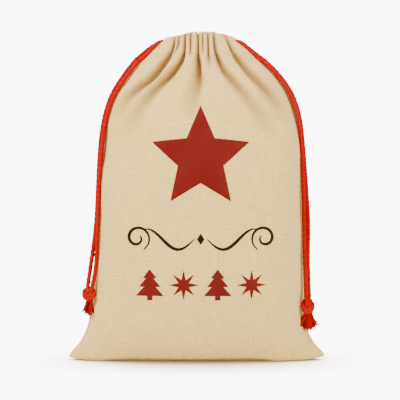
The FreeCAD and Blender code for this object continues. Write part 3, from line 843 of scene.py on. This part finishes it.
def cord_piece(name, parts, node, body=None):
    """A piece of red cord from its points, faces and cloth places."""
    piece = outward_faces(mesh_object(name, *parts))
    finish_piece(piece, "red_cotton_cord", node, body)
    return piece


def cord_line(key):
    """A cord's whole line and the place on it where it passes its pivot."""
    line = spline_points(LEADS[key] + STRANDS[key])
    pivot = np.array(STRANDS[key][0])
    return line, int(np.argmin(np.linalg.norm(line - pivot, axis=1)))


# The doubled cord's way through its overhand knot, for a knot 13 mm round: right, up
# and towards the viewer, in millimetres from the knot's middle.
KNOT_TURNS = [
    (1.6, 10.0, 6.5), (0.8, 4.0, 6.5), (-0.2, -0.2, 1.0), (1.5, -5.0, -5.0), (5.8, -3.0, -6.5),
    (7.0, 4.5, -3.5), (4.6, 10.2, -4.5), (-1.0, 11.4, -5.5), (-5.8, 9.0, -2.0),
    (-7.2, 2.6, 3.0), (-6.0, -5.2, 7.0), (-1.0, -9.0, 9.5), (4.2, -5.8, 9.5),
    (7.0, 0.8, 6.0), (7.4, 6.8, 1.0), (4.5, 8.6, -6.0), (2.3, 2.0, -9.0),
    (1.5, -6.0, -7.0), (1.5, -14.0, -2.0), (1.5, -19.0, 0.0),
]


def knot_parts(knot, ends, cord_radius):
    """Both cords of a pair, side by side, through one overhand knot."""
    centre = np.array(knot["centre"])
    tall = knot["height"] / 0.0165
    turns = np.array([(a, -c, b * tall) for a, b, c in KNOT_TURNS]) * MM + centre
    tangent = np.gradient(turns, axis=0)
    across = np.stack([tangent[:, 2], np.zeros(len(turns)), -tangent[:, 0]], axis=1)
    across /= np.maximum(np.linalg.norm(across, axis=1, keepdims=True), 1e-9)
    parts = []
    for sign, (before, end) in zip((1, -1), sorted(ends, key=lambda e: e[1][0])):
        route = turns + across * sign * cord_radius * 0.86
        above = np.array(end) + (np.array(before) - np.array(end)) * 0.16
        line = spline_points([tuple(above), tuple(end)] + [tuple(p) for p in route], detail=10)
        parts.append(braided_tube(line, cord_radius, phase=1.3 * sign, around=20, step=0.0009,
                                  round_ends=(False, True)))
    return parts


def yarn(points, radius, sides=5):
    line, along = even_points(points, 0.0030)
    taper = np.linspace(1.0, 0.7, len(line))[:, None] * radius * np.ones(sides)
    flat, faces, uv = tube_around(line, along, carried_frames(line), taper)
    last = len(flat) - sides
    faces.append(tuple(range(sides))[::-1])
    faces.append(tuple(last + i for i in range(sides)))
    return flat, faces, uv


def frayed_parts(knot, yarns):
    """Plies that leave the knot together, fan out and come apart at their tips."""
    rng = np.random.default_rng(knot["seed"])
    top = np.array(knot["top"])
    parts = []
    for lean, length in knot["plies"]:
        lean = math.radians(lean + rng.uniform(-2, 2))
        out = rng.uniform(-0.28, 0.34)
        way = np.array((math.sin(lean), -out * 0.5, -math.cos(lean)))
        start = top + np.array((lean * 0.0105, -0.0035 * out, 0.0))
        bend = np.array((rng.normal(0, 0.0012), rng.normal(0, 0.001), 0.0))
        twist = rng.uniform(0, 2 * math.pi)
        for i in range(yarns):
            angle = 2.399 * i
            reach = 0.0030 * math.sqrt((i + 0.5) / yarns)
            far = length * rng.uniform(0.86, 1.04)
            loose = rng.uniform(0.9, 1.6)
            points = []
            for t in (0.0, 0.22, 0.45, 0.7, 0.88, 1.0):
                turned = angle + twist + 2.6 * t
                spread = reach * (1.0 - 0.25 * math.sin(math.pi * t) + (loose - 1) * t ** 3)
                side = np.array((math.cos(turned), math.sin(turned) * 0.9, 0.0)) * spread
                droop = np.array((lean * 0.004 * t * t, 0.0, 0.0))
                points.append(start + way * far * t + side + bend * math.sin(math.pi * t) + droop)
            line = spline_points([tuple(p) for p in points], 5)
            parts.append(yarn(line, rng.uniform(0.0008, 0.0011)))
    return parts


# ---- print ----------------------------------------------------------------------
PRINT_MIDDLE = 0.008
STAR_Z, STAR_RADIUS, STAR_WAIST, STAR_STRETCH = 0.3855, 0.0957, 0.465, 1.04
SCROLL_Z, ORNAMENT_Z = 0.2355, 0.149
ORNAMENT_PITCH, ORNAMENT_HALF = 0.063, 0.027


def star_outline(x, z, radius, waist, tips, stretch=1.0):
    outline = []
    for i in range(2 * tips):
        reach = radius if i % 2 == 0 else radius * waist
        angle = math.pi / 2 + math.pi * i / tips
        outline.append((x + reach * math.cos(angle), z + stretch * reach * math.sin(angle)))
    return outline


def stroke_outline(line, widths, steps=64):
    """A pen stroke that swells and thins, as a closed outline."""
    t = np.linspace(0, 1, len(line))
    at = np.linspace(0, 1, steps)
    line = np.array(line)
    x, z = (hermite(t, line[:, k], np.gradient(line[:, k], t), at) for k in (0, 1))
    width = np.interp(at, t, widths)
    dx, dz = np.gradient(x), np.gradient(z)
    run = np.hypot(dx, dz)
    nx, nz = -dz / run, dx / run
    upper = np.stack([x + nx * width / 2, z + nz * width / 2], axis=1)
    lower = np.stack([x - nx * width / 2, z - nz * width / 2], axis=1)
    return [tuple(p) for p in upper] + [tuple(p) for p in lower[::-1]]


def scroll_outlines():
    outlines = []
    for sign in (-1, 1):
        curl, widths = [], []
        for i in range(15):
            angle = math.radians(-60 + 33 * i)
            reach = 0.025 - 0.00135 * i
            curl.append((PRINT_MIDDLE + sign * (0.118 - reach * math.cos(angle)),
                         SCROLL_Z + 0.002 + reach * math.sin(angle)))
            widths.append(0.0022 + 0.0036 * math.sin(math.pi * i / 14))
        outlines.append(stroke_outline(curl, widths))
        wave, swell = [], []
        for i in range(11):
            part = i / 10
            wave.append((PRINT_MIDDLE + sign * (0.012 + 0.092 * part),
                         SCROLL_Z - 0.019 * math.sin(2 * math.pi * part * 0.78)))
            swell.append(0.0018 + 0.0044 * math.sin(math.pi * part))
        outlines.append(stroke_outline(wave, swell))
    outlines.append([(PRINT_MIDDLE - 0.007, SCROLL_Z), (PRINT_MIDDLE, SCROLL_Z + 0.011),
                     (PRINT_MIDDLE + 0.007, SCROLL_Z), (PRINT_MIDDLE, SCROLL_Z - 0.011)])
    return outlines


def ornament_outlines():
    tiers = [(0, 58), (13, 41), (7, 41), (20, 25), (11, 25), (26, 8), (5, 8), (5, 0)]
    scale = 2 * ORNAMENT_HALF / 54
    outlines = []
    for i in range(4):
        x = PRINT_MIDDLE + (i - 1.5) * ORNAMENT_PITCH
        if i % 2:
            outlines.append(star_outline(x, ORNAMENT_Z + 0.0015, ORNAMENT_HALF + 0.0015, 0.36, 8))
            continue
        low = ORNAMENT_Z - ORNAMENT_HALF
        side = [(a * scale, b * scale) for a, b in tiers]
        outlines.append([(x + a, low + b) for a, b in side]
                        + [(x - a, low + b) for a, b in reversed(side[1:])])
    return outlines


def inside_outline(outline, x, z):
    inside = False
    count = len(outline)
    for i in range(count):
        (ax, az), (bx, bz) = outline[i], outline[(i + 1) % count]
        if (az > z) != (bz > z) and x < (bx - ax) * (z - az) / (bz - az) + ax:
            inside = not inside
    return inside


def film_mesh(name, outlines, cloth, lift, thickness, spacing):
    """A thin film cut to the outlines and pressed on the front of the cloth."""
    tree = BVHTree.FromObject(cloth, bpy.context.evaluated_depsgraph_get())
    points, faces, uvs = [], [], []
    for outline in outlines:
        edge = []
        for i, (ax, az) in enumerate(outline):
            bx, bz = outline[(i + 1) % len(outline)]
            steps = max(int(math.hypot(bx - ax, bz - az) / spacing), 1)
            edge += [(ax + (bx - ax) * k / steps, az + (bz - az) * k / steps) for k in range(steps)]
        flat = [Vector(p) for p in edge]
        xs, zs = [p[0] for p in edge], [p[1] for p in edge]
        x = min(xs) + spacing * 0.7
        while x < max(xs):
            z = min(zs) + spacing * 0.7
            while z < max(zs):
                if inside_outline(edge, x, z):
                    flat.append(Vector((x, z)))
                z += spacing
            x += spacing
        ring = [list(range(len(edge)))]
        made = delaunay_2d_cdt(flat, [], ring, 1, 1e-7)
        base = len(points)
        for place in made[0]:
            hit, normal, _, _ = tree.ray_cast(Vector((place.x, -0.4, place.y)), Vector((0, 1, 0)))
            if hit is None:
                raise RuntimeError(name + " reaches past the cloth")
            if normal.y > 0:
                normal = -normal
            points.append(hit + normal * lift)
            uvs.append((place.x, place.y))
        for face in made[2]:
            loop = [base + i for i in face]
            a, b, c = (points[i] for i in loop[:3])
            if (b - a).cross(c - a).y > 0:
                loop.reverse()
            faces.append(loop)
    return thicken(mesh_object(name, points, faces, uvs), thickness, offset=1.0)


# ---- settings -------------------------------------------------------------------
def length_setting(name, description, default, low, high):
    return bpy.props.FloatProperty(name=name, description=description, default=default,
                                   min=low, max=high, unit="LENGTH")


def colour_setting(name, description, *colour):
    return bpy.props.FloatVectorProperty(name=name, description=description, subtype="COLOR",
                                         size=4, default=(*colour, 1.0), min=0, max=1)


class GiftSackSizes(bpy.types.PropertyGroup):
    cord_diameter: length_setting(
        "Cord diameter", "Thickness of the cotton drawcord", 0.0075, 0.004, 0.012)
    film_lift: length_setting(
        "Film lift", "How far the printed film stands off the cloth", 0.00025, 0.0001, 0.001)
    film_thickness: length_setting(
        "Film thickness", "Thickness of the printed film", 0.0002, 0.0001, 0.001)
    stitch_pitch: length_setting(
        "Stitch pitch", "From one stitch to the next", 0.0042, 0.002, 0.01)
    stitch_length: length_setting(
        "Stitch length", "Length of one stitch that shows", 0.0032, 0.001, 0.008)
    thread_radius: length_setting(
        "Thread radius", "Half the sewing thread's thickness", 0.00022, 0.0001, 0.001)
    ply_yarns: bpy.props.IntProperty(
        name="Yarns in a ply", description="Yarns in each ply of a frayed cord end",
        default=14, min=4, max=30)


class GiftSackColours(bpy.types.PropertyGroup):
    cloth_colour: colour_setting("Cloth", "Natural linen-cotton", 0.81, 0.620, 0.292)
    cord_colour: colour_setting("Cord", "Dyed cotton cord", 0.375, 0.0032, 0.0042)
    print_red: colour_setting("Red print", "Red heat-pressed film", 0.120, 0.0050, 0.0068)
    print_black: colour_setting("Black print", "Black heat-pressed film", 0.0035, 0.0035, 0.0045)
    thread_colour: colour_setting(
        "Thread", "Sewing thread that matches the cloth", 0.78, 0.60, 0.28)
    thread_pitch: length_setting(
        "Thread pitch", "From one woven thread to the next", 0.0011, 0.0005, 0.004)


# ---- operators ------------------------------------------------------------------
SIDES = {
    "front": (FRONT_GROOVES, FRONT_CREASES, 21),
    "back": (back_grooves(), BACK_CREASES, 57),
}
SEAM_SIGNS = {"left": -1, "right": 1}
PAPER_GLOW = 12.0
WARM_LIGHT = (1.0, 0.87, 0.55)


def seen_apart(tree, lit, seen, output):
    """Show the camera one shader and light everything else with another."""
    eye = add_node(tree, "ShaderNodeLightPath").outputs["Is Camera Ray"]
    mix = add_node(tree, "ShaderNodeMixShader", {"Fac": eye, 1: lit, 2: seen})
    tree.links.new(mix.outputs["Shader"], output.inputs["Surface"])


class GIFTSACK_OT_stage(bpy.types.Operator):
    """Add the pale floor, the lights and the camera"""
    bl_idname = "giftsack.stage"
    bl_label = "Stage"

    def execute(self, context):
        self.camera()
        self.floor()
        self.lights()
        return {"FINISHED"}

    def camera(self):
        view_width, distance, eye_height = 0.772, 2.40, 0.308
        lens = bpy.data.cameras.new("camera")
        lens.sensor_width = 36.0
        lens.lens = lens.sensor_width * distance / view_width
        lens.clip_end = 20.0
        camera = new_object("camera", lens)
        camera.location = (0.0068, -distance, eye_height)
        camera.rotation_euler = (math.pi / 2, 0, 0)
        bpy.context.scene.camera = camera

    def floor(self):
        reach = 10.0
        corners = [(-reach, -reach, 0), (reach, -reach, 0), (reach, reach, 0), (-reach, reach, 0)]
        floor = mesh_object("floor", corners, [(0, 1, 2, 3)])
        floor.data.materials.append(self.floor_paper())

    def floor_paper(self):
        """White paper, bright to the eye, with a painted soft warm shadow where the sack stands: an
        occlusion ramp darkens its glow.
        """
        material, tree, shader = new_material("floor_paper", Base_Color=(0.80, 0.80, 0.80, 1),
                                              Roughness=0.8)
        # painted shadow: the nearer the sack, the darker and warmer the floor's glow
        near = add_node(tree, "ShaderNodeAmbientOcclusion", {"Distance": 0.16}, samples=16)
        ramp = add_node(tree, "ShaderNodeValToRGB", {"Fac": near.outputs["AO"]})
        stops = [(0.0, (0.30, 0.17, 0.08)), (0.35, (1.3, 0.85, 0.42)), (0.62, (4.4, 3.5, 2.4)),
                 (0.85, (7.4, 7.0, 6.4)), (1.0, (9.4, 9.35, 9.3))]
        while len(ramp.color_ramp.elements) < len(stops):
            ramp.color_ramp.elements.new(0.5)
        for element, (place, colour) in zip(ramp.color_ramp.elements, stops):
            element.position = place
            element.color = tuple(c / PAPER_GLOW for c in colour) + (1,)
        glow = add_node(tree, "ShaderNodeEmission",
                        {"Color": ramp.outputs["Color"], "Strength": PAPER_GLOW})
        seen_apart(tree, shader.outputs["BSDF"], glow.outputs["Emission"],
                   tree.nodes["Material Output"])
        return material

    def lights(self):
        world = bpy.data.worlds.new("studio")
        world.use_nodes = True
        tree = world.node_tree
        back = tree.nodes["Background"]
        fill_inputs(tree, back, {"Color": (1.0, 0.87, 0.56, 1.0), "Strength": 0.70})
        white = add_node(tree, "ShaderNodeBackground",
                         {"Color": (1.0, 0.995, 0.989, 1.0), "Strength": 9.4})
        seen_apart(tree, back.outputs["Background"], white.outputs["Background"],
                   tree.nodes["World Output"])
        bpy.context.scene.world = world
        boxes = [
            ("left_box", (-1.9, -1.5, 2.0), 0.8, 122.0),
            ("right_box", (2.0, -1.6, 1.0), 1.4, 72.0),
            ("top_box", (-0.2, -0.3, 2.4), 1.2, 44.0),
            ("back_box", (0.8, 2.6, 1.8), 1.6, 56.0),
        ]
        for name, place, size, power in boxes:
            light = bpy.data.lights.new(name, "AREA")
            light.shape = "SQUARE"
            light.size = size
            light.energy = power
            light.color = WARM_LIGHT
            lamp = new_object(name, light)
            lamp.location = place
            way = Vector((0.0, 0.0, 0.3)) - Vector(place)
            lamp.rotation_euler = way.to_track_quat("-Z", "Y").to_euler()


class GIFTSACK_OT_panels(bpy.types.Operator):
    """Build the front and back panels with their folds"""
    bl_idname = "giftsack.panels"
    bl_label = "Panels"

    def execute(self, context):
        for side, (grooves, creases, seed) in SIDES.items():
            rows = panel_rows(grooves, creases, seed)
            piece = cloth_piece(side + "_cloth", rows, side, grooves)
            finish_piece(piece, "natural_cloth", side + "_panel")
            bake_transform(piece)
        return {"FINISHED"}


class GIFTSACK_OT_casings(bpy.types.Operator):
    """Build the gathered cord casings at the mouth"""
    bl_idname = "giftsack.casings"
    bl_label = "Casings"

    def execute(self, context):
        for side, (grooves, creases, seed) in SIDES.items():
            rows = casing_rows(grooves, creases, seed)
            piece = cloth_piece(side + "_hem", rows, side, grooves)
            finish_piece(piece, "natural_cloth", side + "_casing", side + "_lip")
        return {"FINISHED"}


class GIFTSACK_OT_seams(bpy.types.Operator):
    """Build the seam allowances inside the sack"""
    bl_idname = "giftsack.seams"
    bl_label = "Seams"

    def execute(self, context):
        for name, sign in SEAM_SIGNS.items():
            heights = np.linspace(0.018, SLIT_FOOT - 0.003, 150)
            middle, half = section_at(heights, 4), section_at(heights, 1)
            rows = []
            for inset in np.linspace(0.0045, 0.0155, 6):
                wave = 0.0006 * np.sin(heights * 210) * (inset / 0.0155)
                rows.append(np.stack([middle + sign * (half - inset), wave, heights], axis=1))
            self.strip(name + "_seam_allowance", np.array(rows), name + "_side_seam")
        xs = np.linspace(-0.198, 0.198, 150)
        rows = []
        for rise in np.linspace(0.0026, 0.0132, 6):
            wave = 0.0005 * np.sin(xs * 190) * (rise / 0.0132)
            rows.append(np.stack([xs, wave, np.full(150, rise)], axis=1))
        self.strip("bottom_seam_allowance", np.array(rows), "bottom_seam")
        return {"FINISHED"}

    def strip(self, name, rows, node):
        piece = mesh_object(name, rows.reshape(-1, 3), grid_faces(*rows.shape[:2]), cloth_uv(rows))
        thicken(piece, 0.0016, offset=0.0)
        finish_piece(piece, "natural_cloth", node, "sack")


class GIFTSACK_OT_print(bpy.types.Operator):
    """Press the star, the pen scroll and the row of ornaments on the front"""
    bl_idname = "giftsack.print"
    bl_label = "Print"

    def execute(self, context):
        sizes = context.scene.gift_sack_sizes
        cloth = bpy.data.objects["front_cloth"]
        figures = [
            ("star_film", "red_print_film", "star_print", 0.004,
             [star_outline(PRINT_MIDDLE, STAR_Z, STAR_RADIUS, STAR_WAIST, 5, STAR_STRETCH)]),
            ("scroll_film", "black_print_film", "scroll_print", 0.003, scroll_outlines()),
            ("ornament_film", "red_print_film", "ornament_print", 0.003, ornament_outlines()),
        ]
        for name, material, node, spacing, outlines in figures:
            piece = film_mesh(name, outlines, cloth, sizes.film_lift, sizes.film_thickness, spacing)
            finish_piece(piece, material, node, "sack")
        return {"FINISHED"}


# Each pair's knot: its middle, how tall it is, and the plies below it, each with its
# lean in degrees to the right and its length.
KNOTS = {
    "left": dict(centre=(-0.2053, -0.0255, 0.1280), height=0.0130, top=(-0.2045, -0.0265, 0.1180),
                 seed=5, plies=[(-17, 0.025), (-9, 0.029), (-3, 0.031), (3, 0.030), (10, 0.027)]),
    "right": dict(centre=(0.2123, -0.0275, 0.1040), height=0.0165, top=(0.2138, -0.0285, 0.0925),
                  seed=9, plies=[(-29, 0.026), (-20, 0.029), (-13, 0.031), (-7, 0.032), (-1, 0.033),
                                 (5, 0.033), (11, 0.031), (18, 0.029), (26, 0.026)]),
}


class GIFTSACK_OT_drawcords(bpy.types.Operator):
    """Run both drawcords through the casing and down the sides"""
    bl_idname = "giftsack.drawcords"
    bl_label = "Drawcords"

    def execute(self, context):
        diameter = context.scene.gift_sack_sizes.cord_diameter
        for key in LEADS:
            side, face = key.split("_cord_")
            line, pivot = cord_line(key)
            run = float(np.linalg.norm(np.diff(line[:pivot + 1], axis=0), axis=1).sum())
            part = braided_tube(line, diameter / 2, part=(0.0, run), round_ends=(True, False),
                                pressed_to=run - 0.075)
            piece = cord_piece(key + "_in_casing", part, key + "_lead")
            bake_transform(piece)
            part = braided_tube(line, diameter / 2, part=(run - diameter * 0.5, 1e9))
            cord_piece(key + "_braid", part, key + "_strand", side + "_cord")
        return {"FINISHED"}


class GIFTSACK_OT_knots(bpy.types.Operator):
    """Tie each pair of cords in an overhand knot and fray the ends"""
    bl_idname = "giftsack.knots"
    bl_label = "Knots"

    def execute(self, context):
        sizes = context.scene.gift_sack_sizes
        for side, knot in KNOTS.items():
            body = side + "_cord"
            keys = [body + "_front", body + "_back"]
            ends = [STRANDS[key][-2:] for key in keys]
            parts = knot_parts(knot, ends, sizes.cord_diameter * 0.43)
            tied = cord_piece(side + "_overhand_knot", join_parts(parts), side + "_knot", body)
            parts = frayed_parts(knot, sizes.ply_yarns)
            loose = cord_piece(side + "_loose_yarns", join_parts(parts), side + "_frayed_end", body)
            for key in keys:
                line, pivot = cord_line(key)
        return {"FINISHED"}


def stitch_tree():
    """Geometry nodes: one rounded stitch at each step along a line."""
    tree = bpy.data.node_groups.new("Stitch row", "GeometryNodeTree")
    sockets = tree.interface
    sockets.new_socket("Geometry", in_out="INPUT", socket_type="NodeSocketGeometry")
    for label, value in (("Pitch", 0.0042), ("Stitch length", 0.0032), ("Thread radius", 0.0003)):
        made = sockets.new_socket(label, in_out="INPUT", socket_type="NodeSocketFloat")
        made.default_value = value
    sockets.new_socket("Thread", in_out="INPUT", socket_type="NodeSocketMaterial")
    sockets.new_socket("Geometry", in_out="OUTPUT", socket_type="NodeSocketGeometry")
    given = tree.nodes.new("NodeGroupInput").outputs
    end = tree.nodes.new("NodeGroupOutput")
    curve = add_node(tree, "GeometryNodeMeshToCurve", {"Mesh": given["Geometry"]})
    even = add_node(tree, "GeometryNodeResampleCurve", mode="LENGTH")
    fill_inputs(tree, even, {"Curve": curve.outputs["Curve"], "Length": given["Pitch"]})
    bead = add_node(tree, "GeometryNodeMeshUVSphere", {"Segments": 8, "Rings": 6, "Radius": 1.0})
    half = math_node(tree, "MULTIPLY", given["Stitch length"], 0.5)
    radius = given["Thread radius"]
    size = add_node(tree, "ShaderNodeCombineXYZ", {"X": radius, "Y": radius, "Z": half})
    tangent = add_node(tree, "GeometryNodeInputTangent")
    turn = add_node(tree, "FunctionNodeAlignRotationToVector", {"Vector": tangent.outputs[0]},
                    axis="Z")
    place = add_node(tree, "GeometryNodeInstanceOnPoints", {
        "Points": even.outputs["Curve"], "Instance": bead.outputs["Mesh"],
        "Scale": size.outputs[0], "Rotation": turn.outputs["Rotation"]})
    solid = add_node(tree, "GeometryNodeRealizeInstances", {"Geometry": place.outputs["Instances"]})
    shade = add_node(tree, "GeometryNodeSetShadeSmooth", {"Geometry": solid.outputs["Geometry"]})
    paint = add_node(tree, "GeometryNodeSetMaterial",
                     {"Geometry": shade.outputs["Geometry"], "Material": given["Thread"]})
    fill_inputs(tree, end, {"Geometry": paint.outputs["Geometry"]})
    return tree


class GIFTSACK_OT_stitching(bpy.types.Operator):
    """Sew the casing, the seams and the bar tacks"""
    bl_idname = "giftsack.stitching"
    bl_label = "Stitching"

    def execute(self, context):
        self.tree = bpy.data.node_groups.get("Stitch row") or stitch_tree()
        self.sizes = context.scene.gift_sack_sizes
        pitch = self.sizes.stitch_pitch
        for side, (grooves, creases, seed) in SIDES.items():
            rows = to_side(casing_rows(grooves, creases, seed), side)
            out = np.array((0.0, -1.0 if side == "front" else 1.0, 0.0))
            line = rows[1] + out * 0.00035
            self.sew(side + "_casing_thread", [line[4:-4]], pitch * 0.62, side + "_lip",
                     side + "_casing_stitching")
            tacks = []
            for column in [middle + k for middle in (3, COLUMNS - 4) for k in range(-2, 3)]:
                foot, head = rows[0, column], rows[4, column]
                tacks.append(np.array([foot, (foot + head) / 2, head]) + out * 0.0004)
            self.sew(side + "_tack_thread", tacks, pitch * 0.8, side + "_lip", side + "_bar_tacks")
        for name, sign in SEAM_SIGNS.items():
            heights = np.linspace(0.022, SLIT_FOOT - 0.005, 120)
            x = section_at(heights, 4) + sign * (section_at(heights, 1) - 0.0080)
            self.sew(name + "_seam_thread", self.both_faces(x, heights), pitch, "sack",
                     name + "_seam_stitching")
        xs = np.linspace(-0.19, 0.19, 80)
        self.sew("bottom_seam_thread", self.both_faces(xs, np.full(80, 0.008)), pitch, "sack",
                 "bottom_seam_stitching")
        return {"FINISHED"}

    def both_faces(self, x, z):
        """A line of stitches on each face of a seam."""
        return [np.stack([x, np.full(len(x), y), z], axis=1) for y in (-0.0013, 0.0013)]

    def sew(self, name, lines, pitch, body, node):
        points, edges = [], []
        for line in lines:
            first = len(points)
            points += [tuple(p) for p in line]
            edges += [(first + i, first + i + 1) for i in range(len(line) - 1)]
        mesh = bpy.data.meshes.new(name)
        mesh.from_pydata(points, edges, [])
        piece = new_object(name, mesh)
        row = piece.modifiers.new("Stitches", "NODES")
        row.node_group = self.tree
        values = {"Pitch": pitch, "Stitch length": self.sizes.stitch_length,
                  "Thread radius": self.sizes.thread_radius,
                  "Thread": sack_material("sewing_thread")}
        for socket in self.tree.interface.items_tree:
            if socket.in_out == "INPUT" and socket.name in values:
                row[socket.identifier] = values[socket.name]
        apply_modifiers(piece)
        finish_piece(piece, "sewing_thread", node, body)


class GIFTSACK_PT_panel(bpy.types.Panel):
    """Lists the sack's pieces and their settings"""
    bl_idname = "GIFTSACK_PT_panel"
    bl_label = "Gift Sack"
    bl_space_type = "VIEW_3D"
    bl_region_type = "UI"
    bl_category = "Gift Sack"

    def draw(self, context):
        layout = self.layout
        for operator in OPERATORS:
            layout.operator(operator.bl_idname)
        for group in (context.scene.gift_sack_sizes, context.scene.gift_sack_colours):
            for name in group.__annotations__:
                layout.prop(group, name)


OPERATORS = (GIFTSACK_OT_stage, GIFTSACK_OT_panels, GIFTSACK_OT_casings, GIFTSACK_OT_seams,
             GIFTSACK_OT_print, GIFTSACK_OT_drawcords, GIFTSACK_OT_knots, GIFTSACK_OT_stitching)
CLASSES = (GiftSackSizes, GiftSackColours) + OPERATORS + (GIFTSACK_PT_panel,)


def register():
    for item in CLASSES:
        bpy.utils.register_class(item)
    bpy.types.Scene.gift_sack_sizes = bpy.props.PointerProperty(type=GiftSackSizes)
    bpy.types.Scene.gift_sack_colours = bpy.props.PointerProperty(type=GiftSackColours)


def unregister():
    del bpy.types.Scene.gift_sack_colours
    del bpy.types.Scene.gift_sack_sizes
    for item in reversed(CLASSES):
        bpy.utils.unregister_class(item)


def main():
    register()
    bpy.ops.giftsack.stage()
    bpy.ops.giftsack.panels()
    bpy.ops.giftsack.casings()
    bpy.ops.giftsack.seams()
    bpy.ops.giftsack.print()
    bpy.ops.giftsack.drawcords()
    bpy.ops.giftsack.knots()
    bpy.ops.giftsack.stitching()
    bpy.context.view_layer.update()


if __name__ == "__main__":
    main()
